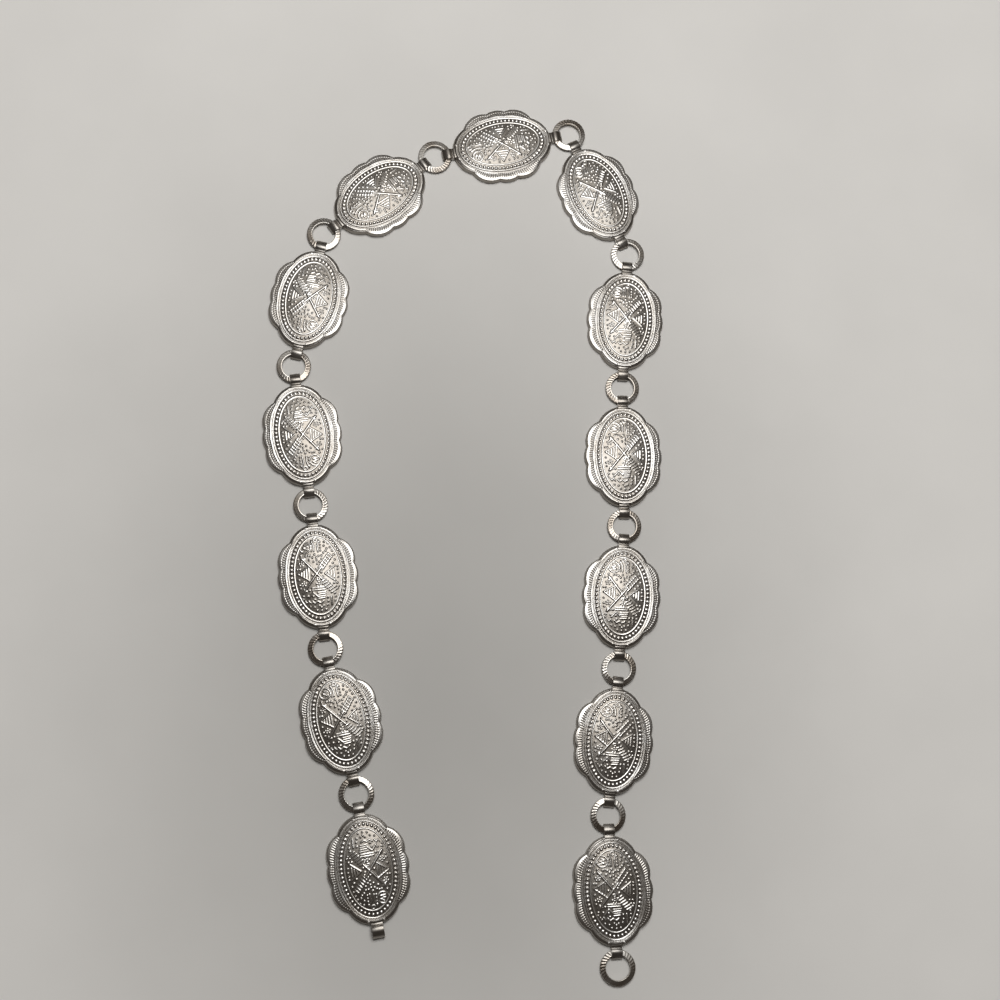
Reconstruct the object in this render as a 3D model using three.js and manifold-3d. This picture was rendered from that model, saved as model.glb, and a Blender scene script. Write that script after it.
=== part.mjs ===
// Concho belt: thirteen stamped oval plates joined end to end by flat rings.
// Millimetres, +Z up. The belt lies face up on its back, doubled into a narrow arch that opens
// towards -Y, with the hook at the left foot of the arch and the end ring at the right foot.

import * as THREE from 'three';
import { mergeVertices } from 'three/addons/utils/BufferGeometryUtils.js';
import Module from 'manifold-3d';

const wasm = await Module();
wasm.setup();

// Plates. Heights are taken from the surface that the belt lies on.
const PLATE_LENGTH = 50;
const PLATE_WIDTH = 38;
const SHEET = 0.6;
const EDGE_HEIGHT = 2.7;
const EDGE_DRAFT = 0.5;
const DOME_HEIGHT = 6.1;
const OVAL_LENGTH = 45;
const OVAL_WIDTH = 28.6;
const OVAL_HEIGHT = 3.1;
const RIDGE_WIDTH = 1.0;
const RIDGE_HEIGHT = 0.35;

// Rings
const RING_DIAMETER = 16.4;
const RING_BAND = 2.6;
const RING_THICKNESS = 1.5;
const RING_BEVEL = 0.6;
const RING_SIDES = 14;

// Tabs, folded round the rings
const TAB_WIDTH = 5;
const TAB_ROOT = 0.9;
const RIM_GAP = 0.9;
const CLEARANCE = 0.3;
const EYE_SLACK = 0.7;

// Hook
const HOOK_WIDTH = 5.6;
const HOOK_SHEET = 0.7;
const HOOK_SLACK = 1.6;
const HOOK_ROOM = 1.3;
const HOOK_STEPS = 12;

// The two notches in each quarter of a plate's rim, and how far the lobe between them bulges
// past its chord, as shares of half the plate's width and length.
const NOTCHES = {
  end: { across: 0.62, along: 0.7 },
  side: { across: 0.94, along: 0.19 },
};
const SIDE_LOBE_BULGE = 0.137;
const LOBE_STEPS = { end: 6, corner: 5, side: 4 };

// Where the dome changes slope inside the oval line, as shares of the oval's size.
const DOME_SHARES = { over: 0.52, under: 0.5 };

// Side view of the hook's bend, from just outside the rim round to its tip,
// as shares of its reach and height.
const HOOK_BEND = [
  { out: 0.05, up: 0.77 },
  { out: 0.24, up: 0.94 },
  { out: 0.46, up: 1.0 },
  { out: 0.73, up: 0.88 },
  { out: 0.95, up: 0.62 },
  { out: 1.0, up: 0.37 },
  { out: 0.87, up: 0.19 },
  { out: 0.64, up: 0.14 },
];

// The direction in which each plate lies, in degrees from +X, from the hook to the end ring.
const LAY = [
  { plate: 'concho_01', ring: 'ring_01', heading: 100 },
  { plate: 'concho_02', ring: 'ring_02', heading: 103 },
  { plate: 'concho_03', ring: 'ring_03', heading: 97 },
  { plate: 'concho_04', ring: 'ring_04', heading: 98 },
  { plate: 'concho_05', ring: 'ring_05', heading: 79 },
  { plate: 'concho_06', ring: 'ring_06', heading: 38 },
  { plate: 'concho_07', ring: 'ring_07', heading: 12 },
  { plate: 'concho_08', ring: 'ring_08', heading: -65 },
  { plate: 'concho_09', ring: 'ring_09', heading: -93 },
  { plate: 'concho_10', ring: 'ring_10', heading: -90 },
  { plate: 'concho_11', ring: 'ring_11', heading: -93 },
  { plate: 'concho_12', ring: 'ring_12', heading: -95 },
  { plate: 'concho_13', ring: 'ring_13', heading: -87 },
];

// Sizes that follow from the ones above
const ringRadius = RING_DIAMETER / 2;
const holeRadius = ringRadius - RING_BAND;
const ringBase = SHEET + CLEARANCE;
const ringTop = ringBase + RING_THICKNESS;
const rimToRing = RIM_GAP + ringRadius;
const eyeStart = RIM_GAP - CLEARANCE;
const holeDip = holeRadius - Math.sqrt(holeRadius ** 2 - (TAB_WIDTH / 2) ** 2);
const eyeEnd = RIM_GAP + RING_BAND + holeDip + EYE_SLACK;
const eyeTop = ringTop + CLEARANCE;
const bevelShift = CLEARANCE * Math.tan(Math.PI / 8);
const shoulder = ringTop - RING_BEVEL + bevelShift;
const hookReach = RIM_GAP + RING_BAND + HOOK_SLACK + HOOK_SHEET;
const hookHeight = ringTop + HOOK_ROOM + HOOK_SHEET;

// Points of a round lobe from one notch towards the next, without the last point.
function lobe(from, to, bulge, steps) {
  const chord = to.clone().sub(from);
  const half = chord.length() / 2;
  const radius = (half ** 2 + bulge ** 2) / (2 * bulge);
  const outward = new THREE.Vector2(chord.y, -chord.x).normalize();
  const centre = from.clone().add(to).multiplyScalar(0.5).addScaledVector(outward, bulge - radius);
  const sweep = 2 * Math.asin(half / radius);
  return Array.from({ length: steps }, (_, i) => from.clone().rotateAround(centre, (sweep * i) / steps));
}

// The eight-lobed rim, counter-clockwise from above, with the tabs' ends at +Y and -Y.
function rimOutline() {
  const halfWidth = PLATE_WIDTH / 2;
  const halfLength = PLATE_LENGTH / 2;
  const notch = (place, signX, signY) =>
    new THREE.Vector2(signX * place.across * halfWidth, signY * place.along * halfLength);
  const { end, side } = NOTCHES;
  const sideBulge = halfWidth * (1 - side.across);
  const endBulge = halfLength * (1 - end.along);
  const cornerBulge = SIDE_LOBE_BULGE * halfWidth;
  const corners = [
    [notch(side, 1, -1), sideBulge, LOBE_STEPS.side],
    [notch(side, 1, 1), cornerBulge, LOBE_STEPS.corner],
    [notch(end, 1, 1), endBulge, LOBE_STEPS.end],
    [notch(end, -1, 1), cornerBulge, LOBE_STEPS.corner],
    [notch(side, -1, 1), sideBulge, LOBE_STEPS.side],
    [notch(side, -1, -1), cornerBulge, LOBE_STEPS.corner],
    [notch(end, -1, -1), endBulge, LOBE_STEPS.end],
    [notch(end, 1, -1), cornerBulge, LOBE_STEPS.corner],
  ];
  return corners.flatMap(([start, bulge, steps], i) => {
    const next = corners[(i + 1) % corners.length][0];
    return lobe(start, next, bulge, steps);
  });
}

// A loop of points on an oval round the plate's centre, in the rim points' directions.
function ovalLoop(rim, halfWidth, halfLength, height) {
  return rim.map((point) => {
    const direction = point.clone().normalize();
    const radius = 1 / Math.hypot(direction.x / halfWidth, direction.y / halfLength);
    return new THREE.Vector3(direction.x * radius, direction.y * radius, height);
  });
}

// A loop of points that runs inside the rim at an even distance from it.
function insetLoop(rim, inset, height) {
  return rim.map((point) => {
    const moved = point.clone().setLength(point.length() - inset);
    return new THREE.Vector3(moved.x, moved.y, height);
  });
}

// Faces between a loop and the next one inwards, which has as many points or half as many.
function stitch(outer, inner) {
  const faces = [];
  const halved = outer.length === 2 * inner.length;
  for (let i = 0; i < inner.length; i += 1) {
    const j = (i + 1) % inner.length;
    if (halved) {
      const k = 2 * i;
      const last = (k + 2) % outer.length;
      faces.push([outer[k], outer[k + 1], inner[i]]);
      faces.push([outer[k + 1], inner[j], inner[i]]);
      faces.push([outer[k + 1], outer[last], inner[j]]);
    } else {
      faces.push([outer[i], outer[j], inner[i]]);
      faces.push([outer[j], inner[j], inner[i]]);
    }
  }
  return faces;
}

// Faces from a loop up to one point in its middle.
function fan(loop, middle) {
  return loop.map((point, i) => [point, loop[(i + 1) % loop.length], middle]);
}

function skin(loops, middle) {
  const rings = loops.slice(1).flatMap((inner, i) => stitch(loops[i], inner));
  return [...rings, ...fan(loops[loops.length - 1], middle)];
}

function geometryOfFaces(faces) {
  const numbers = faces.flat().flatMap((point) => point.toArray());
  const geometry = new THREE.BufferGeometry();
  geometry.setAttribute('position', new THREE.Float32BufferAttribute(numbers, 3));
  return geometry;
}

function solidOf(geometry) {
  const bare = geometry.clone();
  bare.deleteAttribute('normal');
  bare.deleteAttribute('uv');
  const merged = mergeVertices(bare, 1e-5);
  const vertProperties = new Float32Array(merged.attributes.position.array);
  const triVerts = new Uint32Array(merged.index.array);
  return new wasm.Manifold(new wasm.Mesh({ numProp: 3, vertProperties, triVerts }));
}

function geometryOf(solid) {
  const { vertProperties, triVerts } = solid.getMesh();
  const geometry = new THREE.BufferGeometry();
  geometry.setAttribute('position', new THREE.BufferAttribute(new Float32Array(vertProperties), 3));
  geometry.setIndex(new THREE.BufferAttribute(new Uint32Array(triVerts), 1));
  geometry.computeVertexNormals();
  return geometry;
}

// The stamped plate, hollow underneath. Its edge is turned down to the surface it lies on, its
// lobed border is nearly flat, and a raised oval line parts the border from the dome.
function plateShell() {
  const rim = rimOutline();
  const halfWidth = OVAL_WIDTH / 2;
  const halfLength = OVAL_LENGTH / 2;
  const ridge = RIDGE_WIDTH / 2;
  const domeHeight = (share) => OVAL_HEIGHT + (DOME_HEIGHT - OVAL_HEIGHT) * (1 - share ** 2);
  const everySecond = (loop) => loop.filter((_, i) => i % 2 === 0);
  const halved = everySecond(rim);
  const quartered = everySecond(halved);
  const domeFoot = domeHeight(1 - RIDGE_WIDTH / OVAL_WIDTH);
  const domeLoop = (points, share, height) =>
    ovalLoop(points, halfWidth * share, halfLength * share, height);
  const over = [
    insetLoop(rim, 0, 0),
    insetLoop(rim, EDGE_DRAFT, EDGE_HEIGHT),
    ovalLoop(rim, halfWidth, halfLength, OVAL_HEIGHT + RIDGE_HEIGHT),
    ovalLoop(rim, halfWidth - ridge, halfLength - ridge, domeFoot),
    domeLoop(halved, DOME_SHARES.over, domeHeight(DOME_SHARES.over)),
  ];
  const under = [
    insetLoop(rim, SHEET, 0),
    insetLoop(rim, EDGE_DRAFT + SHEET, EDGE_HEIGHT - SHEET),
    ovalLoop(halved, halfWidth - ridge, halfLength - ridge, OVAL_HEIGHT - SHEET),
    domeLoop(quartered, DOME_SHARES.under, domeHeight(DOME_SHARES.under) - SHEET),
  ];
  const top = skin(over, new THREE.Vector3(0, 0, DOME_HEIGHT));
  const hollow = skin(under, new THREE.Vector3(0, 0, DOME_HEIGHT - SHEET));
  const edge = stitch(over[0], under[0]);
  const flipped = [...hollow, ...edge].map(([a, b, c]) => [a, c, b]);
  return solidOf(geometryOfFaces([...top, ...flipped]));
}

// A side view of points { out, up } as a strip that runs across the plate's +Y end.
function stripAcross(shape, width) {
  const geometry = new THREE.ExtrudeGeometry(shape, { depth: width, bevelEnabled: false });
  geometry.translate(0, 0, -width / 2);
  const sideways = new THREE.Matrix4().makeBasis(
    new THREE.Vector3(0, 1, 0),
    new THREE.Vector3(0, 0, 1),
    new THREE.Vector3(1, 0, 0),
  );
  geometry.applyMatrix4(sideways);
  geometry.translate(0, PLATE_LENGTH / 2, 0);
  return geometry;
}

function outlineOf(corners) {
  return corners.map(([out, up]) => new THREE.Vector2(out, up));
}

// A tab runs out from the border, over the ring's band, and returns under it to the rim,
// so its eye holds the ring with a clearance all round and some slack inside the ring.
function tabSolid() {
  const reach = eyeEnd + SHEET;
  const top = eyeTop + SHEET;
  const bandMiddle = RIM_GAP + RING_BAND / 2;
  const crestHalf = RING_BAND / 2 - RING_BEVEL + bevelShift;
  const outer = outlineOf([
    [-TAB_ROOT, 0],
    [reach - SHEET, 0],
    [reach, SHEET],
    [reach, shoulder],
    [reach - SHEET, shoulder + SHEET],
    [bandMiddle + crestHalf, top],
    [bandMiddle - crestHalf, top],
    [-TAB_ROOT, EDGE_HEIGHT],
  ]);
  const eye = outlineOf([
    [eyeStart, SHEET],
    [eyeStart, shoulder],
    [bandMiddle - crestHalf, eyeTop],
    [bandMiddle + crestHalf, eyeTop],
    [eyeEnd, shoulder],
    [eyeEnd, SHEET],
  ]);
  const shape = new THREE.Shape(outer);
  shape.holes.push(new THREE.Path(eye));
  return solidOf(stripAcross(shape, TAB_WIDTH));
}

// The hook is a strip of one thickness that runs out from the border along its bend, with room
// inside for a ring's band and a mouth between its tip and the rim.
function hookSolid() {
  const spread = HOOK_SHEET / 2;
  const bend = new THREE.SplineCurve([
    new THREE.Vector2(-TAB_ROOT, EDGE_HEIGHT - spread),
    ...HOOK_BEND.map(({ out, up }) =>
      new THREE.Vector2(out * (hookReach - spread), up * (hookHeight - spread))),
  ]);
  const outside = [];
  const inside = [];
  for (let i = 0; i <= HOOK_STEPS; i += 1) {
    const middle = bend.getPointAt(i / HOOK_STEPS);
    const along = bend.getTangentAt(i / HOOK_STEPS);
    const across = new THREE.Vector2(-along.y, along.x).multiplyScalar(spread);
    outside.push(middle.clone().add(across));
    inside.unshift(middle.clone().sub(across));
  }
  return solidOf(stripAcross(new THREE.Shape([...outside, ...inside]), HOOK_WIDTH));
}

// A plate with a tab at its +Y end and, at its -Y end, a second tab or the hook.
function plateGeometry(backEnd) {
  const back = backEnd.rotate([0, 0, 180]);
  return geometryOf(plateShell().add(tabSolid()).add(back));
}

function ringGeometry() {
  const profile = [
    [holeRadius, 0],
    [ringRadius, 0],
    [ringRadius, RING_THICKNESS - RING_BEVEL],
    [ringRadius - RING_BEVEL, RING_THICKNESS],
    [holeRadius + RING_BEVEL, RING_THICKNESS],
    [holeRadius, RING_THICKNESS - RING_BEVEL],
    [holeRadius, 0],
  ];
  const lathe = new THREE.LatheGeometry(outlineOf(profile), RING_SIDES);
  lathe.rotateX(Math.PI / 2);
  return geometryOf(solidOf(lathe));
}

const plateMetal = new THREE.MeshStandardMaterial({ color: 0xc4bfb8, metalness: 1, roughness: 0.22 });
const ringMetal = new THREE.MeshStandardMaterial({ color: 0xb6b0a8, metalness: 1, roughness: 0.3 });

function named(name, geometry, material, place, heading) {
  const mesh = new THREE.Mesh(geometry, material.clone());
  mesh.name = name;
  mesh.position.copy(place);
  mesh.rotation.z = heading;
  return mesh;
}

// Each ring is centred where the axes of its two plates meet, so the chain is walked in half steps.
function layBelt() {
  const belt = new THREE.Group();
  const plate = plateGeometry(tabSolid());
  const hookPlate = plateGeometry(hookSolid());
  const ring = ringGeometry();
  const halfStep = PLATE_LENGTH / 2 + rimToRing;
  const place = new THREE.Vector3();
  LAY.forEach((row, i) => {
    const angle = THREE.MathUtils.degToRad(row.heading);
    const forward = new THREE.Vector3(Math.cos(angle), Math.sin(angle), 0);
    const turn = angle - Math.PI / 2;
    place.addScaledVector(forward, halfStep);
    belt.add(named(row.plate, i === 0 ? hookPlate : plate, plateMetal, place, turn));
    place.addScaledVector(forward, halfStep);
    const ringPlace = place.clone().setZ(ringBase);
    belt.add(named(row.ring, ring, ringMetal, ringPlace, turn));
  });
  return belt;
}

// The origin is under the middle of the belt as it lies, on the surface that it lies on.
const belt = layBelt();
const extent = new THREE.Box3().setFromObject(belt, true);
const middle = extent.getCenter(new THREE.Vector3());
belt.position.set(-middle.x, -middle.y, -extent.min.z);

export default belt;
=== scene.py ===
import math

import bpy
import numpy as np
from mathutils import Matrix, Vector


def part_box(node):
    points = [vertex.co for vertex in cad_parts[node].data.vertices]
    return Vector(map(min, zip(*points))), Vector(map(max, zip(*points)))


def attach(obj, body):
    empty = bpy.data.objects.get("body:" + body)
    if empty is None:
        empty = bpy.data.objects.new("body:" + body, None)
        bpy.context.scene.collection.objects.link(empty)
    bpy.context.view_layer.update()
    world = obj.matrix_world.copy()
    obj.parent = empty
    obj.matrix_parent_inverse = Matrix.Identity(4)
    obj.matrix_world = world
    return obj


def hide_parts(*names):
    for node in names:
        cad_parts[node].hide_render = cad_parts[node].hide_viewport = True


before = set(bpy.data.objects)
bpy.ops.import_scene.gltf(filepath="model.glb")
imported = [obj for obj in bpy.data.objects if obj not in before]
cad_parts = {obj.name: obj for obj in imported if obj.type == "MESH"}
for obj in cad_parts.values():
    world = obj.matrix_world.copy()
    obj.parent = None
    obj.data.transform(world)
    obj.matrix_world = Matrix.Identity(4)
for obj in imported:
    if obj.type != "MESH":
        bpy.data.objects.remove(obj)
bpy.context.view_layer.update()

# The belt as it lies
# A chain of thirteen plates and thirteen rings lies face up, doubled into a narrow arch. Each
# plate but the first is held by a ring at both ends, and their middles give its place.
MM = 0.001
LINKS = [f"{k:02d}" for k in range(1, 14)]
FIRST_HEADING = math.radians(100)


def middle_of(node):
    """The middle of a CAD node seen from above, in millimetres."""
    low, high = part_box(node)
    return np.array([low.x + high.x, low.y + high.y]) / 2 / MM


ring_places = [middle_of("ring_" + link) for link in LINKS]
half_step = np.linalg.norm(ring_places[1] - ring_places[0]) / 2
hook_side = half_step * np.array([math.cos(FIRST_HEADING), math.sin(FIRST_HEADING)])
plate_places = [ring_places[0] - hook_side]
plate_headings = [FIRST_HEADING]
for behind, ahead in zip(ring_places, ring_places[1:]):
    plate_places.append((behind + ahead) / 2)
    plate_headings.append(math.atan2(ahead[1] - behind[1], ahead[0] - behind[0]))

# Rings
# Flat bands of plated cast metal. The upper face slopes down towards the outside and carries
# slanting cuts like a rope's lay, deep along one stretch and worn away along the rest.
RING_CUTS = 32
RING_COLUMNS = 5 * RING_CUTS
RING_CUT_DEPTH = 0.34
# A cut moves on round the ring by this phase from one point of the section to the next, and it
# bites this share of its depth inwards.
RING_CUT_SLANT = 0.75
RING_CUT_INWARD = 0.35
RING_CUT_SHARPNESS = 1.5
# Away from the deep stretch the cuts are worn down to this share of their depth. The wear sets
# in where the cosine of the angle to that stretch falls to RING_WEAR_START.
RING_WORN_SHARE = 0.22
RING_WEAR_START = 0.45
RING_WEAR_STEEPNESS = 9
RING_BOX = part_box("ring_01")
RING_RADIUS = (RING_BOX[1].x - RING_BOX[0].x) / 2 / MM
RING_BASE = RING_BOX[0].z / MM
# The band's section, from its outer lower corner over the top to its inner one: how far in from
# the outer edge, how far up, and how much of a cut's depth that point takes.
RING_SECTION = [
    (0.22, 0.0, 0.0),
    (0.05, 0.06, 0.0),
    (0.0, 0.2, 0.1),
    (0.0, 0.68, 0.5),
    (0.05, 0.84, 0.8),
    (0.2, 0.94, 1.0),
    (0.56, 1.03, 1.0),
    (0.94, 1.12, 1.0),
    (1.32, 1.21, 1.0),
    (1.7, 1.3, 0.9),
    (2.08, 1.39, 0.5),
    (2.34, 1.43, 0.1),
    (2.5, 1.37, 0.0),
    (2.58, 1.2, 0.0),
    (2.6, 0.2, 0.0),
    (2.54, 0.05, 0.0),
    (2.38, 0.0, 0.0),
]
# Where each ring's cuts are deepest, in degrees from +X
ROPE_AT = [180, 150, 40, 35, 95, 275, 60, 170, 180, 130, 125, 200, 170]


def colour_ramp(nodes, stops):
    """A ramp through stops, each a position and its colour."""
    ramp = nodes.new("ShaderNodeValToRGB")
    ramp.color_ramp.elements[0].position = stops[0][0]
    ramp.color_ramp.elements[0].color = (*stops[0][1], 1)
    ramp.color_ramp.elements[1].position = stops[-1][0]
    ramp.color_ramp.elements[1].color = (*stops[-1][1], 1)
    for position, colour in stops[1:-1]:
        element = ramp.color_ramp.elements.new(position)
        element.color = (*colour, 1)
    return ramp


def plated_metal(name, hollow, crown, tarnish, roughness, grain):
    """Plating over brass: clean and smooth on the high parts, dull and brown in the low ones and
    wherever a mesh paints shade with a low relief.
    """
    material = bpy.data.materials.new(name)
    material.use_nodes = True
    nodes = material.node_tree.nodes
    links = material.node_tree.links
    shader = nodes["Principled BSDF"]
    shader.inputs["Metallic"].default_value = 1.0
    place = nodes.new("ShaderNodeTexCoord")

    relief = nodes.new("ShaderNodeAttribute")
    relief.attribute_name = "relief"
    metal = colour_ramp(nodes, [(0.0, hollow), (0.45, crown), (1.0, crown)])
    links.new(relief.outputs["Fac"], metal.inputs["Fac"])

    clouds = nodes.new("ShaderNodeTexNoise")
    clouds.inputs["Scale"].default_value = 95
    clouds.inputs["Detail"].default_value = 5
    clouds.inputs["Roughness"].default_value = 0.6
    links.new(place.outputs["Object"], clouds.inputs["Vector"])
    patches = colour_ramp(nodes, [(0.42, tarnish), (0.62, (1.0, 1.0, 1.0))])
    links.new(clouds.outputs["Fac"], patches.inputs["Fac"])
    toned = nodes.new("ShaderNodeMix")
    toned.data_type = "RGBA"
    toned.blend_type = "MULTIPLY"
    toned.inputs["Factor"].default_value = 1.0
    links.new(metal.outputs["Color"], toned.inputs["A"])
    links.new(patches.outputs["Color"], toned.inputs["B"])
    links.new(toned.outputs["Result"], shader.inputs["Base Color"])

    dull, bright = roughness
    shine = nodes.new("ShaderNodeMapRange")
    shine.inputs["To Min"].default_value = dull
    shine.inputs["To Max"].default_value = bright
    links.new(relief.outputs["Fac"], shine.inputs["Value"])
    scuffs = nodes.new("ShaderNodeTexNoise")
    scuffs.inputs["Scale"].default_value = 900
    scuffs.inputs["Detail"].default_value = 3
    links.new(place.outputs["Object"], scuffs.inputs["Vector"])
    scuffed = nodes.new("ShaderNodeMath")
    scuffed.operation = "MULTIPLY_ADD"
    scuffed.inputs[1].default_value = 0.1
    links.new(scuffs.outputs["Fac"], scuffed.inputs[0])
    links.new(shine.outputs["Result"], scuffed.inputs[2])
    links.new(scuffed.outputs["Value"], shader.inputs["Roughness"])

    dimples = nodes.new("ShaderNodeBump")
    dimples.inputs["Strength"].default_value = 1.0
    dimples.inputs["Distance"].default_value = grain
    links.new(scuffs.outputs["Fac"], dimples.inputs["Height"])
    links.new(dimples.outputs["Normal"], shader.inputs["Normal"])
    return material


def metal_piece(name, mesh, material):
    """A finished piece that stands for the CAD node of its own name."""
    mesh.materials.append(material)
    mesh.polygons.foreach_set("use_smooth", [True] * len(mesh.polygons))
    piece = bpy.data.objects.new(name + "_metal", mesh)
    bpy.context.scene.collection.objects.link(piece)
    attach(piece, "root")
    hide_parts(name)
    return piece


def mesh_of(name, points, faces, relief):
    """A mesh whose relief says how clean each point's metal is: 0 tarnished, 1 bright. On the
    plates' turned-down edges, tabs and backs a low relief is painted shade.
    """
    mesh = bpy.data.meshes.new(name)
    mesh.from_pydata((points * MM).tolist(), [], faces)
    mesh.attributes.new("relief", "FLOAT", "POINT").data.foreach_set("value", relief)
    return mesh


def band_faces(count, start, following):
    """Quads between a closed row of points and the following row, which has as many."""
    here = np.arange(count)
    after = (here + 1) % count
    return np.stack([start + here, start + after, following + after, following + here], 1).tolist()


def ring_mesh(name, place, rope_at):
    """A ring round its place, with its cuts deepest towards rope_at."""
    around = np.arange(RING_COLUMNS) / RING_COLUMNS * 2 * math.pi
    nearness = np.cos(around - math.radians(rope_at))
    kept = 1 / (1 + np.exp(-RING_WEAR_STEEPNESS * (nearness - RING_WEAR_START)))
    depth = RING_WORN_SHARE + (1 - RING_WORN_SHARE) * kept
    rows = []
    reliefs = []
    for k, (inward, up, share) in enumerate(RING_SECTION):
        lay = RING_CUTS * around + RING_CUT_SLANT * k
        cut = share * depth * (0.5 + 0.5 * np.cos(lay)) ** RING_CUT_SHARPNESS
        radius = RING_RADIUS - inward - RING_CUT_INWARD * RING_CUT_DEPTH * cut
        height = RING_BASE + up - RING_CUT_DEPTH * cut
        rows.append(np.stack([radius * np.cos(around), radius * np.sin(around), height], 1))
        reliefs.append(1 - cut)
    points = np.concatenate(rows)
    points[:, :2] += place
    faces = []
    for k in range(len(rows)):
        following = (k + 1) % len(rows)
        faces += band_faces(RING_COLUMNS, k * RING_COLUMNS, following * RING_COLUMNS)
    return mesh_of(name, points, faces, np.concatenate(reliefs))


ring_metal = plated_metal(
    "ring_metal",
    hollow=(0.14, 0.12, 0.1),
    crown=(0.68, 0.655, 0.62),
    tarnish=(0.62, 0.57, 0.52),
    roughness=(0.3, 0.15),
    grain=0.00003,
)
for link, place, rope_at in zip(LINKS, ring_places, ROPE_AT):
    name = "ring_" + link
    metal_piece(name, ring_mesh(name, place, rope_at), ring_metal)

# Plates
# Thin sheet brass, stamped into an oval dome and plated. The die raises a pictorial panel inside
# a ring of dots between oval lines, and a hatched border on the eight lobes round the edge.
SHEET = 0.6
PLATE_HALF_WIDTH = 19.0
PLATE_HALF_LENGTH = 25.0
OVAL_HALF_WIDTH = 14.3
OVAL_HALF_LENGTH = 22.5
OVAL_HEIGHT = 3.1
CROWN_HEIGHT = 5.76
EDGE_HEIGHT = 2.72
# Where the rim is notched between an end lobe and a corner lobe, and between a corner lobe and a
# side lobe
END_NOTCH = (0.62 * PLATE_HALF_WIDTH, 0.7 * PLATE_HALF_LENGTH)
SIDE_NOTCH = (0.94 * PLATE_HALF_WIDTH, 0.19 * PLATE_HALF_LENGTH)
CORNER_LOBE_BULGE = 2.6
# How far each lobe swells, and how strongly the swelling tapers towards its notches
LOBE_PUFF = 0.24
LOBE_TAPER = 0.6
# The panel's net has this many meshes across and along.
PANEL_ACROSS = 84
PANEL_ALONG = 132
PANEL_HALF_WIDTH = 10.35
# Half width and half length of an oval, measured at the line round the panel
INNER_OVAL = (10.8, 18.4)


def oval_half_length(half_width):
    """The dome's ovals lengthen evenly from the panel's own to the outermost one."""
    inner_width, inner_length = INNER_OVAL
    share = (half_width - inner_width) / (OVAL_HALF_WIDTH - inner_width)
    return inner_length + share * (OVAL_HALF_LENGTH - inner_length)


def dome_height(x, y):
    share = (x / OVAL_HALF_WIDTH) ** 2 + (y / OVAL_HALF_LENGTH) ** 2
    return OVAL_HEIGHT + (CROWN_HEIGHT - OVAL_HEIGHT) * (1 - share)


class Die:
    """The raised lines and dots of a stamp, each with its half width and height."""

    # The higher this number, the slimmer the crest of a line or dot.
    LINE_FLANK = 1.2
    DOT_FLANK = 0.8
    # A circle is drawn in lines of about this many degrees each.
    CIRCLE_STEP = 18

    def __init__(self):
        self.strokes = []
        self.dots = []

    def line(self, x0, y0, x1, y1, half=0.34, height=0.36):
        self.strokes.append((x0, y0, x1, y1, half, height))

    def path(self, *corners, half=0.34, height=0.36):
        for (x0, y0), (x1, y1) in zip(corners, corners[1:]):
            self.line(x0, y0, x1, y1, half, height)

    def dot(self, x, y, half=0.5, height=0.4):
        self.dots.append((x, y, half, height))

    def circle(self, x, y, radius, start=0, sweep=360, half=0.3, height=0.36):
        steps = max(8, int(abs(sweep) / self.CIRCLE_STEP))
        angles = [math.radians(start + sweep * k / steps) for k in range(steps + 1)]
        self.path(
            *[(x + radius * math.cos(a), y + radius * math.sin(a)) for a in angles],
            half=half,
            height=height,
        )

    def flower(self, x, y, radius=1.0, petals=5):
        self.dot(x, y, 0.42)
        for k in range(petals):
            turn = 2 * math.pi * k / petals + 0.3
            self.dot(x + radius * math.cos(turn), y + radius * math.sin(turn), 0.4, 0.34)

    def arrow(self, tip_x, tip_y, along_x, along_y, with_rails):
        """An arrow from its tip along a direction, with a ladder of feathers at its far end."""
        shaft = 14.2
        barb_length, barb_half_width = 1.5, 0.8
        rails_start, rails_end = 13.6, 21.8
        rungs, rung_spacing, rung_half_width = 6, 1.35, 1.25
        rung_foot, rung_head = 14.6, 15.1

        def on_arrow(along, across):
            return (
                tip_x + along * along_x - across * along_y,
                tip_y + along * along_y + across * along_x,
            )

        tip = on_arrow(0, 0)
        barbs = [on_arrow(barb_length, side * barb_half_width) for side in (1, -1)]
        self.line(*tip, *on_arrow(shaft, 0), half=0.56, height=0.48)
        self.path(barbs[0], tip, barbs[1], half=0.28, height=0.34)
        if with_rails:
            for side in (-1.0, 1.0):
                rail_end = on_arrow(rails_end, side)
                self.line(*on_arrow(rails_start, side), *rail_end, half=0.32, height=0.4)
        for k in range(rungs):
            foot = on_arrow(rung_foot + rung_spacing * k, -rung_half_width)
            head = on_arrow(rung_head + rung_spacing * k, rung_half_width)
            self.line(*foot, *head, half=0.36, height=0.4)

    def room(self, x, y):
        """How far this place is from the nearest line or dot."""
        nearest = min(math.hypot(x - x0, y - y0) - half for x0, y0, half, _ in self.dots)
        for x0, y0, x1, y1, half, _ in self.strokes:
            along_x, along_y = x1 - x0, y1 - y0
            length = max(along_x**2 + along_y**2, 1e-9)
            share = min(1, max(0, ((x - x0) * along_x + (y - y0) * along_y) / length))
            away = math.hypot(x - x0 - share * along_x, y - y0 - share * along_y) - half
            nearest = min(nearest, away)
        return nearest

    def height(self, x, y):
        """How far the die lifts the sheet at each of these points."""
        lift = np.zeros_like(x)
        for x0, y0, x1, y1, half, height in self.strokes:
            along_x, along_y = x1 - x0, y1 - y0
            length = max(along_x**2 + along_y**2, 1e-9)
            share = np.clip(((x - x0) * along_x + (y - y0) * along_y) / length, 0, 1)
            away = np.hypot(x - x0 - share * along_x, y - y0 - share * along_y)
            profile = np.clip(1 - (away / half) ** 2, 0, 1) ** self.LINE_FLANK
            lift = np.maximum(lift, height * profile)
        for x0, y0, half, height in self.dots:
            away = np.hypot(x - x0, y - y0)
            profile = np.clip(1 - (away / half) ** 2, 0, 1) ** self.DOT_FLANK
            lift = np.maximum(lift, height * profile)
        return lift


die = Die()

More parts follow.
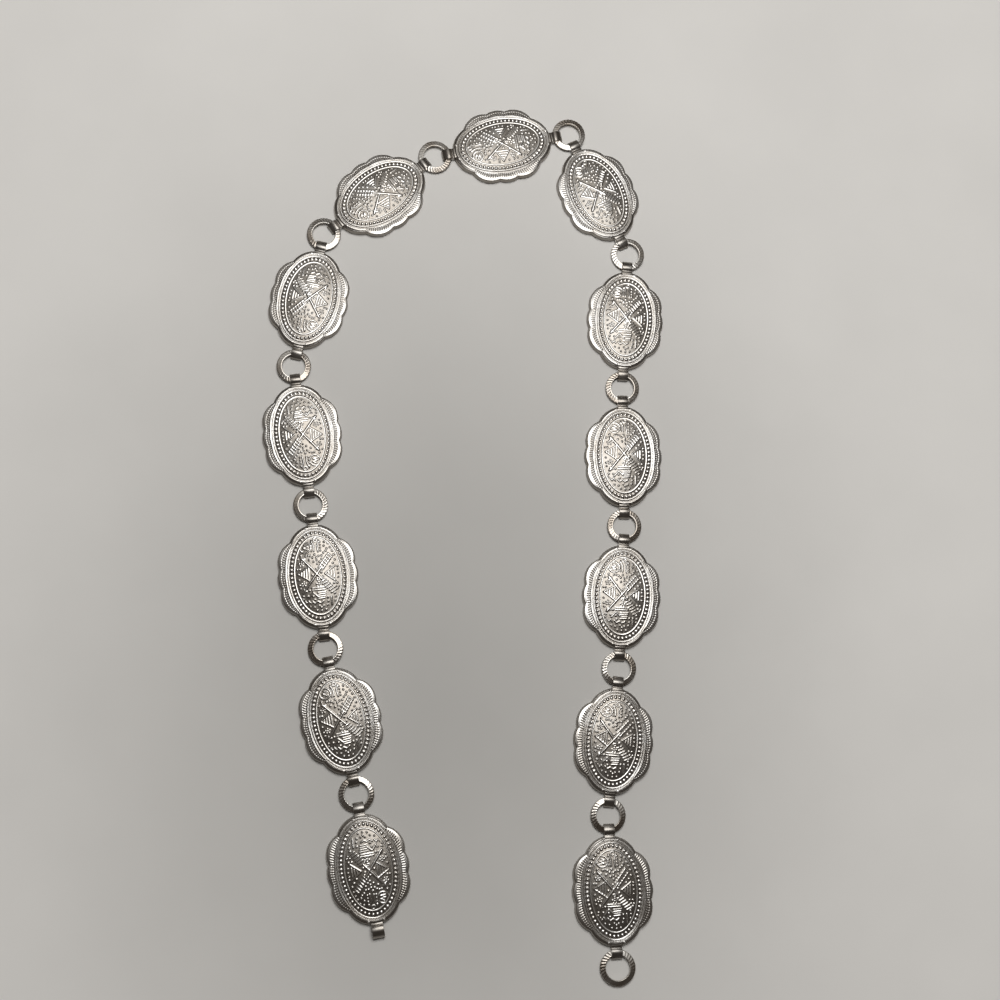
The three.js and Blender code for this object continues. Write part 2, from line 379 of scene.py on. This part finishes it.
# Two crossed arrows
die.arrow(-7.3, -7.7, 0.636, 0.772, with_rails=True)
die.arrow(-7.0, 8.8, 0.625, -0.78, with_rails=False)

# A sun with a zigzag, and two bowed lines beside it
die.circle(-4.6, 13.4, 2.5, half=0.32, height=0.4)
die.path((-6.2, 12.2), (-3.4, 12.5), (-5.9, 13.5), (-3.3, 14.0), (-5.2, 14.9), half=0.28)
die.path((-1.6, 16.6), (-0.6, 14.0), (-0.7, 11.4), half=0.36, height=0.42)
die.path((1.9, 16.4), (0.9, 14.0), (1.2, 11.0), half=0.36, height=0.42)
for k in range(4):
    die.dot(-1.7, 11.6 + 1.4 * k, 0.4)
    die.dot(2.3, 11.4 + 1.4 * k, 0.42)
die.circle(0.3, 16.9, 0.85, half=0.26)

# Dots and small flowers between the pictures
for x, y in [(4.3, 15.4), (6.0, 14.6), (4.0, 13.6), (5.2, 12.2), (6.8, 12.6), (7.6, 10.9)]:
    die.dot(x, y, 0.5)
for x, y in [(-1.3, 6.4), (0.2, 7.0), (1.3, 6.2), (0.2, 5.3), (2.4, 7.4)]:
    die.dot(x, y, 0.46)
die.flower(-7.2, 5.9, 1.0)
die.flower(-6.9, -3.6, 1.0)
die.flower(0.0, -4.4, 1.05)
die.circle(-0.1, -1.9, 0.6, half=0.24)
for x, y in [(-8.6, -5.6), (-9.0, -1.4), (-9.3, 3.6), (-8.6, 8.4), (-7.9, -10.6)]:
    die.dot(x, y, 0.44)
for x, y in [(6.9, -12.4), (8.4, -7.0)]:
    die.dot(x, y, 0.44)

# A hatched tent on one side and a feathered wedge on the other
die.path((-3.2, 4.8), (-9.2, 1.4), (-3.4, -2.8), half=0.34, height=0.4)
for k, (top, foot) in enumerate([(3.7, -1.5), (3.2, -1.4), (2.6, -0.6), (2.0, 0.4)]):
    die.line(-4.0 - 1.15 * k, top, -4.2 - 1.15 * k, foot, half=0.26, height=0.34)
die.path((8.2, 3.8), (3.4, 0.4), (8.0, -3.4), half=0.34, height=0.4)
for k in range(3):
    die.line(5.2 + 1.2 * k, 0.9 + 0.7 * k, 5.2 + 1.2 * k, -0.2 - 0.8 * k, half=0.27, height=0.34)
for x, y in [(9.2, 2.0), (9.4, 0.2), (9.2, -1.7)]:
    die.dot(x, y, 0.42)

# The lodge at the foot, with its beams, waves of ground and a post
die.line(-3.4, -5.9, 2.8, -5.9, half=0.3)
die.line(-3.4, -6.9, 2.6, -6.9, half=0.26)
die.path((-5.2, -10.6), (-3.0, -8.0), (-0.8, -10.2), half=0.34, height=0.4)
for k in range(4):
    die.line(-0.9, -8.2 - 0.95 * k, 2.9 - 0.2 * k, -8.0 - 0.95 * k, half=0.27)
die.path((-7.0, -11.4), (-6.2, -12.6), (-5.4, -11.5), (-4.6, -12.7), half=0.3)
die.path((-3.6, -12.0), (-2.5, -13.1), (-1.2, -12.2), (0.1, -13.1), (1.5, -12.2), half=0.32)
die.line(5.2, -10.4, 5.2, -14.4, half=0.36, height=0.4)
for x, y in [(3.6, -12.6), (3.2, -14.2), (-4.9, -14.4), (-3.0, -14.9), (1.3, -14.6), (-0.7, -14.4)]:
    die.dot(x, y, 0.42)
for x, y in [(-1.9, -16.4), (0.2, -16.7), (2.2, -16.4), (7.2, -10.6)]:
    die.dot(x, y, 0.44)

# Small beads wherever the pictures leave room, wound outwards from the middle. Each is turned
# by BEAD_STEP from the last one, in radians, which spreads them evenly.
BEADS = 230
BEAD_STEP = 2.39996
BEAD_OVAL = (9.7, 17.2)
BEAD_ROOM = 0.6
for k in range(BEADS):
    reach = math.sqrt((k + 0.5) / BEADS)
    bead_x = BEAD_OVAL[0] * reach * math.cos(BEAD_STEP * k)
    bead_y = BEAD_OVAL[1] * reach * math.sin(BEAD_STEP * k)
    if die.room(bead_x, bead_y) > BEAD_ROOM:
        die.dot(bead_x, bead_y, 0.5, 0.36)


def panel_grid():
    """The panel as a square net drawn out to fill an oval: its points, quads and edge."""
    u, v = np.meshgrid(
        np.linspace(-1, 1, PANEL_ACROSS + 1), np.linspace(-1, 1, PANEL_ALONG + 1)
    )
    x = PANEL_HALF_WIDTH * u * np.sqrt(1 - v**2 / 2)
    y = oval_half_length(PANEL_HALF_WIDTH) * v * np.sqrt(1 - u**2 / 2)
    row = PANEL_ACROSS + 1
    first = np.arange(PANEL_ALONG)[:, None] * row + np.arange(PANEL_ACROSS)[None, :]
    quads = np.stack([first, first + 1, first + 1 + row, first + row], 2).reshape(-1, 4)
    number = np.arange(x.size).reshape(x.shape)
    edge = np.concatenate(
        [number[:-1, -1], number[-1, :0:-1], number[:0:-1, 0], number[0, :-1]]
    )
    return x.ravel(), y.ravel(), quads, edge


panel_x, panel_y, panel_quads, panel_edge = panel_grid()
# Each point of the panel's edge starts a column of points that runs out to the rim. Its turn is
# its angle round the dome's ovals.
COLUMNS = len(panel_edge)
turn = np.arctan2(
    panel_y[panel_edge] / oval_half_length(PANEL_HALF_WIDTH), panel_x[panel_edge] / PANEL_HALF_WIDTH
)


def lobe_points(start, end, bulge, steps=60):
    """A round lobe of the rim from one notch to the next, counter-clockwise."""
    start, end = np.array(start), np.array(end)
    chord = end - start
    half = np.linalg.norm(chord) / 2
    radius = (half**2 + bulge**2) / (2 * bulge)
    outward = np.array([chord[1], -chord[0]]) / (2 * half)
    centre = (start + end) / 2 + outward * (bulge - radius)
    sweep = 2 * math.asin(half / radius)
    first = math.atan2(*(start - centre)[::-1])
    angles = first + sweep * np.arange(steps) / steps
    return centre + radius * np.stack([np.cos(angles), np.sin(angles)], 1)


def rim_outline():
    """The eight notches of the rim, and the rim's whole line through them."""
    side_x, side_y = SIDE_NOTCH
    end_x, end_y = END_NOTCH
    side_bulge = PLATE_HALF_WIDTH - side_x
    end_bulge = PLATE_HALF_LENGTH - end_y
    notches = [
        (side_x, -side_y),
        (side_x, side_y),
        (end_x, end_y),
        (-end_x, end_y),
        (-side_x, side_y),
        (-side_x, -side_y),
        (-end_x, -end_y),
        (end_x, -end_y),
    ]
    bulges = [side_bulge, CORNER_LOBE_BULGE, end_bulge, CORNER_LOBE_BULGE] * 2
    lobes = [
        lobe_points(notches[k], notches[(k + 1) % 8], bulges[k]) for k in range(8)
    ]
    return np.array(notches), np.concatenate(lobes)


notches, rim_trace = rim_outline()
# The angle at which each column meets the rim. The nearest column is moved onto each notch.
column_angle = np.arctan2(OVAL_HALF_LENGTH * np.sin(turn), OVAL_HALF_WIDTH * np.cos(turn))
for notch in notches:
    gap = np.angle(np.exp(1j * (column_angle - math.atan2(notch[1], notch[0]))))
    column_angle[np.argmin(np.abs(gap))] -= gap[np.argmin(np.abs(gap))]
trace_angle = np.unwrap(np.arctan2(rim_trace[:, 1], rim_trace[:, 0]))
trace_radius = np.hypot(rim_trace[:, 0], rim_trace[:, 1])
order = np.argsort(np.mod(trace_angle, 2 * math.pi))
rim_radius = np.interp(
    np.mod(column_angle, 2 * math.pi),
    np.mod(trace_angle, 2 * math.pi)[order],
    trace_radius[order],
    period=2 * math.pi,
)
rim_x = rim_radius * np.cos(column_angle)
rim_y = rim_radius * np.sin(column_angle)
oval_x = OVAL_HALF_WIDTH * np.cos(turn)
oval_y = OVAL_HALF_LENGTH * np.sin(turn)

# How far along its lobe each column is, from 0 at one notch to 1 at the next, and which lobe
notch_angle = np.sort(np.mod(np.arctan2(notches[:, 1], notches[:, 0]), 2 * math.pi))
# A column on a notch is counted with the lobe that starts there.
JUST_PAST = 1e-9
past_notch = np.mod(column_angle + JUST_PAST, 2 * math.pi)
lobe_number = np.searchsorted(notch_angle, past_notch) % 8
lobe_start = notch_angle[lobe_number - 1]
lobe_width = np.mod(notch_angle[lobe_number] - lobe_start, 2 * math.pi)
lobe_share = np.mod(past_notch - lobe_start, 2 * math.pi) / lobe_width
puff = np.clip(4 * lobe_share * (1 - lobe_share), 0, 1) ** LOBE_TAPER
on_end_lobe = np.abs(np.sin(column_angle)) > math.sin(math.atan2(END_NOTCH[1], END_NOTCH[0]))
# Two columns in four are sunk as a groove of the hatching.
hatch = np.tile([0.0, 1.0, 1.0, 0.0], COLUMNS // 4)

# The dots between the dome's two oval lines, at even distances along an oval of their own
OVAL_DOTS = 54
DOT_OVAL = 12.5
DOT_HALF = 0.78
DOT_HEIGHT = 0.46
fine = np.linspace(0, 2 * math.pi, 4001)
fine_x = DOT_OVAL * np.cos(fine)
fine_y = oval_half_length(DOT_OVAL) * np.sin(fine)
walked = np.concatenate([[0], np.cumsum(np.hypot(np.diff(fine_x), np.diff(fine_y)))])
dot_turn = np.interp(walked[-1] * np.arange(OVAL_DOTS) / OVAL_DOTS, walked, fine)
oval_dots = Die()
for a in dot_turn:
    dot_y = oval_half_length(DOT_OVAL) * math.sin(a)
    oval_dots.dot(DOT_OVAL * math.cos(a), dot_y, DOT_HALF, DOT_HEIGHT)

# Low dots along each end lobe, and two small scrolls side by side between them
END_DOTS_OVAL = (23.808, 23.2)
END_DOTS_APART = 8.5
SCROLL_PLACE = (1.9, 24.4)
SCROLL_RADIUS = 1.7
edge_marks = Die()
for end in (-1, 1):
    for k in (-3, -2, -1, 1, 2, 3):
        lean = math.radians(90 + END_DOTS_APART * k)
        dot_x = END_DOTS_OVAL[0] * math.cos(lean)
        dot_y = end * END_DOTS_OVAL[1] * math.sin(lean)
        edge_marks.dot(dot_x, dot_y, half=0.5, height=0.2)
    for side in (-1, 1):
        scroll_x, scroll_y = side * SCROLL_PLACE[0], end * SCROLL_PLACE[1]
        edge_marks.circle(
            scroll_x,
            scroll_y,
            SCROLL_RADIUS,
            start=20 * end,
            sweep=140 * end,
            half=0.26,
            height=0.2,
        )

# The two oval lines, each with the oval it runs on, its half width and its height
DOME_RIDGES = [(10.85, 0.34, 0.22), (13.65, 0.34, 0.3)]
# The half widths of the ovals of points from the panel's edge to the border
DOME_OVALS = [
    10.53, 10.68, 10.85, 11.02, 11.18, 11.4, 11.66, 11.9, 12.12, 12.32, 12.5, 12.68, 12.88,
    13.1, 13.3, 13.45, 13.58, 13.72, 13.85, 14.0, 14.15,
]
# The border runs from the dome's outer oval, share 0, to the shoulder of its turned-down edge.
BORDER_SHARES = [
    0.0, 0.06, 0.1, 0.14, 0.18, 0.22, 0.27, 0.38, 0.5, 0.6, 0.66, 0.71, 0.8, 0.9, 1.0,
]
# A low ridge along the border: its share, its half width as a share, and its height
BORDER_RIDGE = (0.14, 0.09, 0.3)
# The border falls away towards its edge with this power of the share.
BORDER_FALL = 2.2
HATCH_DEPTH = 0.3
# The hatching starts and ends at these shares and fades in and out over the shares beside them.
HATCH_FROM, HATCH_FADE_IN = 0.24, 0.03
HATCH_TO, HATCH_FADE_OUT = 0.7, 0.04
# How clean the flat border is, on the side and corner lobes and on the end lobes
BORDER_POLISH = 0.3
END_LOBE_POLISH = 0.16
# Lines and dots are bright from these heights up, on the dome and on the border.
BRIGHT_HEIGHT = 0.34
BORDER_BRIGHT_HEIGHT = 0.3
SHOULDER_INSET = 1.0
# The turned-down edge, as pairs of inset from the rim's outline and height
EDGE_OUTSIDE = [
    (0.82, 2.66), (0.66, 2.54), (0.55, 2.36), (0.48, 2.1), (0.36, 1.5), (0.17, 0.6), (0.08, 0.1),
    (0.2, 0.0),
]
EDGE_INSIDE = [(0.62, 0.0), (0.72, 0.3), (1.02, 1.75), (1.3, 2.1)]
# The rows of points in the hollow back. The first number is how many columns share one point.
# The second is a share of the border, or below zero, of the way from the dome's outer oval in.
BACK_ROWS = [(2, 0.55), (4, 0.0), (4, -0.45), (4, -0.75)]


def ridge(position, centre, half, height):
    """The height of a rounded ridge at this position."""
    return height * np.clip(1 - ((position - centre) / half) ** 2, 0, 1)


def inside_rim(inset):
    """The rim's outline drawn in by this inset, one place for each column."""
    return rim_x * (1 - inset / rim_radius), rim_y * (1 - inset / rim_radius)


def border_row(share):
    """A row of points on the border: x, y, base height, relief and how clean each one is."""
    shoulder_x, shoulder_y = inside_rim(SHOULDER_INSET)
    x = oval_x + share * (shoulder_x - oval_x)
    y = oval_y + share * (shoulder_y - oval_y)
    base = OVAL_HEIGHT + (EDGE_HEIGHT - OVAL_HEIGHT) * share**BORDER_FALL
    base = base + LOBE_PUFF * puff * math.sin(math.pi * min(1, share)) ** 2
    marks = edge_marks.height(x, y) * (HATCH_FROM < share < 1)
    raised = np.maximum(ridge(share, *BORDER_RIDGE), marks)
    fade_in = np.clip((share - HATCH_FROM) / HATCH_FADE_IN, 0, 1)
    fade_out = np.clip((HATCH_TO - share) / HATCH_FADE_OUT, 0, 1)
    groove = hatch * fade_in * fade_out * (~on_end_lobe)
    polish = np.where(on_end_lobe, END_LOBE_POLISH, BORDER_POLISH)
    clean = np.clip(polish + raised / BORDER_BRIGHT_HEIGHT, 0, 1) * (1 - groove)
    return x, y, base, raised - HATCH_DEPTH * groove, clean


def dome_row(half_width):
    """A row of points on one of the dome's ovals, as border_row gives them."""
    x = half_width * np.cos(turn)
    y = oval_half_length(half_width) * np.sin(turn)
    lift = sum(ridge(half_width, *row) for row in DOME_RIDGES)
    lift = np.maximum(lift, oval_dots.height(x, y))
    return x, y, dome_height(x, y), lift, np.clip(lift / BRIGHT_HEIGHT, 0, 1)


def plate_top():
    """Points, faces and relief of the stamped face, from the panel out to the rim's foot."""
    xs, ys = [panel_x], [panel_y]
    lifts = [die.height(panel_x, panel_y)]
    bases = [dome_height(panel_x, panel_y)]
    cleans = [np.clip(lifts[0] / BRIGHT_HEIGHT, 0, 1)]
    rows = [dome_row(half_width) for half_width in DOME_OVALS]
    rows += [border_row(share) for share in BORDER_SHARES]
    # The turned-down edge takes no relief and is painted the tarnished colour all over, as painted
    # shade on the rim's wall.
    for inset, up in EDGE_OUTSIDE:
        flat = np.zeros(COLUMNS)
        rows.append((*inside_rim(inset), np.full(COLUMNS, up), flat, flat))
    faces = panel_quads.tolist()
    start = len(panel_x)
    inner = panel_edge
    here = np.arange(COLUMNS)
    after = (here + 1) % COLUMNS
    for x, y, base, lift, clean in rows:
        xs.append(x)
        ys.append(y)
        bases.append(base)
        lifts.append(lift)
        cleans.append(clean)
        outer = start + here
        faces += np.stack([inner[here], outer[here], outer[after], inner[after]], 1).tolist()
        inner = outer
        start += COLUMNS
    lift = np.concatenate(lifts)
    height = np.concatenate(bases) + lift
    points = np.stack([np.concatenate(xs), np.concatenate(ys), height], 1)
    return points, faces, np.concatenate(cleans)


def plate_under(rim_start, start):
    """The inside of the edge and the hollow back, with fewer points towards the middle."""
    points = []
    faces = []
    here = np.arange(COLUMNS)
    after = (here + 1) % COLUMNS
    previous = rim_start + here
    for inset, height in EDGE_INSIDE:
        points.append(np.stack([*inside_rim(inset), np.full(COLUMNS, height)], 1))
        row = start + here
        faces += np.stack([previous[here], row[here], row[after], previous[after]], 1).tolist()
        previous = row
        start += COLUMNS
    for skip, share in BACK_ROWS:
        pick = np.arange(0, COLUMNS, skip)
        if share >= 0:
            x, y, base = border_row(share)[:3]
        else:
            x, y = oval_x * (1 + share), oval_y * (1 + share)
            base = dome_height(x, y)
        points.append(np.stack([x[pick], y[pick], base[pick] - SHEET], 1))
        row = start + np.arange(len(pick))
        many, few = len(previous), len(pick)
        one = np.arange(few)
        two = (one + 1) % few
        if many == 2 * few:
            near, between, far = (previous[(2 * one + k) % many] for k in range(3))
            faces += np.stack([near, row[one], between], 1).tolist()
            faces += np.stack([between, row[one], row[two]], 1).tolist()
            faces += np.stack([between, row[two], far], 1).tolist()
        else:
            faces += np.stack([previous[one], row[one], row[two], previous[two]], 1).tolist()
        previous = row
        start += few
    points.append(np.array([[0, 0, CROWN_HEIGHT - SHEET]]))
    last = np.arange(len(previous))
    beyond = (last + 1) % len(previous)
    centre = np.full(len(previous), start)
    faces += np.stack([previous[last], centre, previous[beyond]], 1).tolist()
    return np.concatenate(points), faces


# Tabs, hook and whole plates
# A tongue of the plate's own sheet at each end is bent over a ring's band and back under the
# plate. The belt's first end has an open hook in its place. Plate and tongues are plated as one;
# the tongues' darker colour is painted shade.
TAB_HALF_WIDTH = 2.5
# The tabs and the back are painted almost the tarnished colour as painted shade, on the scale from
# 0 for tarnished to 1 for bright
TAB_AND_BACK_SHADE = 0.04
# The edges of a strip are eased by this share of its thickness.
STRIP_EASE = 0.32
# Both bends are pairs of distance beyond the plate's end and height, from the plate outwards.
TAB_BEND = [
    (-1.4, 2.44), (-0.85, 2.46), (-0.35, 2.28), (0.1, 2.04), (0.55, 2.1), (1.0, 2.46),
    (1.55, 2.86), (2.2, 3.0), (2.9, 2.86), (3.7, 2.46), (4.4, 2.0), (4.9, 1.5), (5.1, 1.0),
    (4.9, 0.52), (4.3, 0.3), (2.4, 0.3), (0.6, 0.3), (-0.7, 0.32),
]
HOOK_SHEET = 0.7
HOOK_HALF_WIDTH = 2.8
# The hook's tip narrows by this share over its last rows.
HOOK_TAPER = 0.18
HOOK_TAPER_ROWS = 6
HOOK_BEND = [
    (-1.5, 2.36), (-0.8, 2.42), (-0.1, 2.74), (0.5, 3.28), (1.31, 3.81), (2.5, 4.03),
    (3.98, 3.56), (5.16, 2.5), (5.42, 1.5), (4.74, 0.77), (3.49, 0.57),
]


def smooth_bend(corners, pieces=4):
    """A round curve through the corners of a bend."""
    corners = np.array(corners)
    last = len(corners) - 1
    curve = []
    for k in range(last):
        p = [corners[min(max(k + j, 0), last)] for j in (-1, 0, 1, 2)]
        for s in np.arange(pieces) / pieces:
            curve.append(
                0.5
                * (
                    2 * p[1]
                    + (p[2] - p[0]) * s
                    + (2 * p[0] - 5 * p[1] + 4 * p[2] - p[3]) * s**2
                    + (3 * p[1] - p[0] - 3 * p[2] + p[3]) * s**3
                )
            )
    curve.append(corners[-1])
    return np.array(curve)


def strip_section(half_width, thickness):
    """A strip's section with eased corners, as (across, through) pairs."""
    ease = STRIP_EASE * thickness
    half = thickness / 2
    section = []
    for sign_x, sign_z, first in [(1, 1, 0), (-1, 1, 90), (-1, -1, 180), (1, -1, 270)]:
        for step in (0, 45, 90):
            a = math.radians(first + step)
            across = sign_x * (half_width - ease) + ease * math.cos(a)
            section.append((across, sign_z * (half - ease) + ease * math.sin(a)))
    return np.array(section)


def bent_strip(bend, half_widths, thickness, start):
    """A strip of sheet along a bend at the plate's +Y end: its points and faces."""
    along = np.gradient(bend, axis=0)
    along /= np.linalg.norm(along, axis=1)[:, None]
    through = np.stack([-along[:, 1], along[:, 0]], 1)
    rows = []
    for point, normal, half_width in zip(bend, through, half_widths):
        section = strip_section(half_width, thickness)
        out = point[0] + normal[0] * section[:, 1]
        up = point[1] + normal[1] * section[:, 1]
        rows.append(np.stack([section[:, 0], PLATE_HALF_LENGTH + out, up], 1))
    size = len(rows[0])
    faces = []
    for k in range(len(rows) - 1):
        faces += band_faces(size, start + k * size, start + (k + 1) * size)
    faces.append([start + j for j in reversed(range(size))])
    faces.append([start + (len(rows) - 1) * size + j for j in range(size)])
    return np.concatenate(rows), faces


def half_turned(points):
    """The same points at the plate's other end."""
    return points * np.array([-1, -1, 1])


def plate_mesh(name, with_hook):
    """A whole plate round its middle, with its panel's foot towards -Y."""
    top, faces, relief = plate_top()
    under, under_faces = plate_under(len(top) - COLUMNS, len(top))
    points = [top, under]
    faces = faces + under_faces
    start = len(top) + len(under)
    tab_bend = smooth_bend(TAB_BEND)
    tab_widths = [TAB_HALF_WIDTH] * len(tab_bend)
    foot, foot_faces = bent_strip(tab_bend, tab_widths, SHEET, start)
    points.append(half_turned(foot))
    faces += foot_faces
    start += len(foot)
    if with_hook:
        bend = smooth_bend(HOOK_BEND)
        from_tip = len(bend) - 1 - np.arange(len(bend))
        taper = np.clip(1 - from_tip / HOOK_TAPER_ROWS, 0, 1)
        widths = HOOK_HALF_WIDTH * (1 - HOOK_TAPER * taper**2)
        head, head_faces = bent_strip(bend, widths, HOOK_SHEET, start)
    else:
        head, head_faces = bent_strip(tab_bend, tab_widths, SHEET, start)
    points.append(head)
    faces += head_faces
    points = np.concatenate(points)
    # The tabs, the hook and the hollow back all take this painted shade.
    plain = np.full(len(points) - len(relief), TAB_AND_BACK_SHADE)
    return mesh_of(name, points, faces, np.concatenate([relief, plain]))


plate_metal = plated_metal(
    "plate_metal",
    hollow=(0.34, 0.32, 0.295),
    crown=(0.86, 0.85, 0.835),
    tarnish=(0.84, 0.815, 0.785),
    roughness=(0.28, 0.13),
    grain=0.00002,
)
plain_plate = plate_mesh("plate", with_hook=False)
hook_plate = plate_mesh("plate_with_hook", with_hook=True)
# The panel's foot points along the belt on all but the second and third plates.
TURNED_PLATES = ("02", "03")
for link, place, heading in zip(LINKS, plate_places, plate_headings):
    mesh = (hook_plate if link == LINKS[0] else plain_plate).copy()
    facing = heading - math.pi / 2 if link in TURNED_PLATES else heading + math.pi / 2
    ground = Vector((place[0], place[1], 0)) * MM
    mesh.transform(Matrix.Translation(ground) @ Matrix.Rotation(facing, 4, "Z"))
    metal_piece("concho_" + link, mesh, plate_metal)

# Floor, light and camera
# The belt lies on a pale, matt floor under broad soft light, seen from nearly overhead as in the
# photograph. One lamp lights the floor, and a low card above the belt is mirrored in the metal.
FLOOR_SIZE = 3.0
# A painted shadow darkens the floor under the belt, and it pales outwards over an oval of this half
# width.
FLOOR_SHADOWED_MIDDLE_COLOUR = (0.45, 0.442, 0.425)
FLOOR_OUTER_COLOUR = (0.72, 0.708, 0.685)
FLOOR_SHADOW_HALF_WIDTH = 0.27


def floor_material():
    """Pale, matt and faintly mottled, with a painted shadow over its middle."""
    material = bpy.data.materials.new("pale_floor")
    material.use_nodes = True
    nodes = material.node_tree.nodes
    links = material.node_tree.links
    shader = nodes["Principled BSDF"]
    shader.inputs["Roughness"].default_value = 0.9
    place = nodes.new("ShaderNodeTexCoord")
    shape = nodes.new("ShaderNodeMapping")
    shape.inputs["Location"].default_value = (0.015, 0.055, 0.0)
    shape.inputs["Scale"].default_value = (1.0, 0.72, 1.0)
    links.new(place.outputs["Object"], shape.inputs["Vector"])
    centre = nodes.new("ShaderNodeVectorMath")
    centre.operation = "LENGTH"
    links.new(shape.outputs["Vector"], centre.inputs[0])
    spread = nodes.new("ShaderNodeMapRange")
    spread.interpolation_type = "SMOOTHSTEP"
    spread.inputs["From Max"].default_value = FLOOR_SHADOW_HALF_WIDTH
    links.new(centre.outputs["Value"], spread.inputs["Value"])
    # Painted shadow: darkest in the middle, paler outwards.
    shade = colour_ramp(nodes, [(0.0, FLOOR_SHADOWED_MIDDLE_COLOUR), (1.0, FLOOR_OUTER_COLOUR)])
    links.new(spread.outputs["Result"], shade.inputs["Fac"])
    mottle = nodes.new("ShaderNodeTexNoise")
    mottle.inputs["Scale"].default_value = 14
    mottle.inputs["Detail"].default_value = 6
    links.new(place.outputs["Object"], mottle.inputs["Vector"])
    patches = colour_ramp(nodes, [(0.3, (0.95, 0.95, 0.95)), (0.7, (1.0, 1.0, 1.0))])
    links.new(mottle.outputs["Fac"], patches.inputs["Fac"])
    toned = nodes.new("ShaderNodeMix")
    toned.data_type = "RGBA"
    toned.blend_type = "MULTIPLY"
    toned.inputs["Factor"].default_value = 1.0
    links.new(shade.outputs["Color"], toned.inputs["A"])
    links.new(patches.outputs["Color"], toned.inputs["B"])
    links.new(toned.outputs["Result"], shader.inputs["Base Color"])
    return material


bpy.ops.mesh.primitive_plane_add(size=FLOOR_SIZE)
floor = bpy.context.object
floor.name = "floor"
floor.data.materials.append(floor_material())


def soft_light(name, place, aim, size, watts, colour):
    """A round lamp that shines from its place towards its aim."""
    lamp = bpy.data.lights.new(name, "AREA")
    lamp.shape = "DISK"
    lamp.size = size
    lamp.energy = watts
    lamp.color = colour
    holder = bpy.data.objects.new(name, lamp)
    holder.location = place
    holder.rotation_euler = (Vector(aim) - Vector(place)).to_track_quat("-Z", "Y").to_euler()
    holder.visible_camera = False
    bpy.context.scene.collection.objects.link(holder)
    return holder


floor_light = soft_light(
    "floor_light",
    place=(0.1, 0.75, 1.8),
    aim=(0, 0, 0),
    size=1.0,
    watts=27.4,
    colour=(1.0, 0.99, 0.975),
)
floor_light.visible_glossy = False
card = soft_light(
    "card",
    place=(0.02, 0.1, 0.3),
    aim=(0.02, 0.09, 0.0),
    size=0.32,
    watts=0.78,
    colour=(1.0, 0.995, 0.98),
)
card.visible_diffuse = False

# The room is brightest overhead, a little beyond the belt's arch, and dim towards the floor.
world = bpy.data.worlds.new("room")
world.use_nodes = True
room_nodes = world.node_tree.nodes
room_links = world.node_tree.links
way = room_nodes.new("ShaderNodeTexCoord")
skylight = room_nodes.new("ShaderNodeMapping")
skylight.vector_type = "POINT"
skylight.inputs["Location"].default_value = (0.0, -0.66, -1.3)
skylight.inputs["Scale"].default_value = (1.15, 1.6, 1.3)
room_links.new(way.outputs["Generated"], skylight.inputs["Vector"])
from_skylight = room_nodes.new("ShaderNodeVectorMath")
from_skylight.operation = "LENGTH"
room_links.new(skylight.outputs["Vector"], from_skylight.inputs[0])
walls = colour_ramp(
    room_nodes,
    [
        (0.0, (0.95, 0.94, 0.92)),
        (0.38, (0.78, 0.77, 0.745)),
        (0.75, (0.225, 0.213, 0.198)),
        (1.0, (0.065, 0.057, 0.05)),
    ],
)
room_links.new(from_skylight.outputs["Value"], walls.inputs["Fac"])
room_links.new(walls.outputs["Color"], room_nodes["Background"].inputs["Color"])
room_nodes["Background"].inputs["Strength"].default_value = 1.0
bpy.context.scene.world = world
bpy.context.scene.view_settings.view_transform = "Standard"

# The camera stands almost straight above the belt, a little in front of it and to its left.
CAMERA_AIM = Vector((16.64, 12.78, 0.0)) * MM
CAMERA_DISTANCE = 831.5 * MM
CAMERA_TILT = math.radians(12.612)
CAMERA_ROUND = math.radians(24.452)
VIEW_ANGLE = math.radians(32)
back = Vector(
    (
        -math.sin(CAMERA_ROUND) * math.sin(CAMERA_TILT),
        -math.cos(CAMERA_ROUND) * math.sin(CAMERA_TILT),
        math.cos(CAMERA_TILT),
    )
)
right = Vector((0, 1, 0)).cross(back).normalized()
up = back.cross(right)
camera_data = bpy.data.cameras.new("camera")
camera_data.sensor_width = 36
camera_data.lens = 18 / math.tan(VIEW_ANGLE / 2)
camera = bpy.data.objects.new("camera", camera_data)
camera.matrix_world = Matrix.Translation(CAMERA_AIM + back * CAMERA_DISTANCE) @ Matrix(
    (right, up, back)
).transposed().to_4x4()
bpy.context.scene.collection.objects.link(camera)
bpy.context.scene.camera = camera
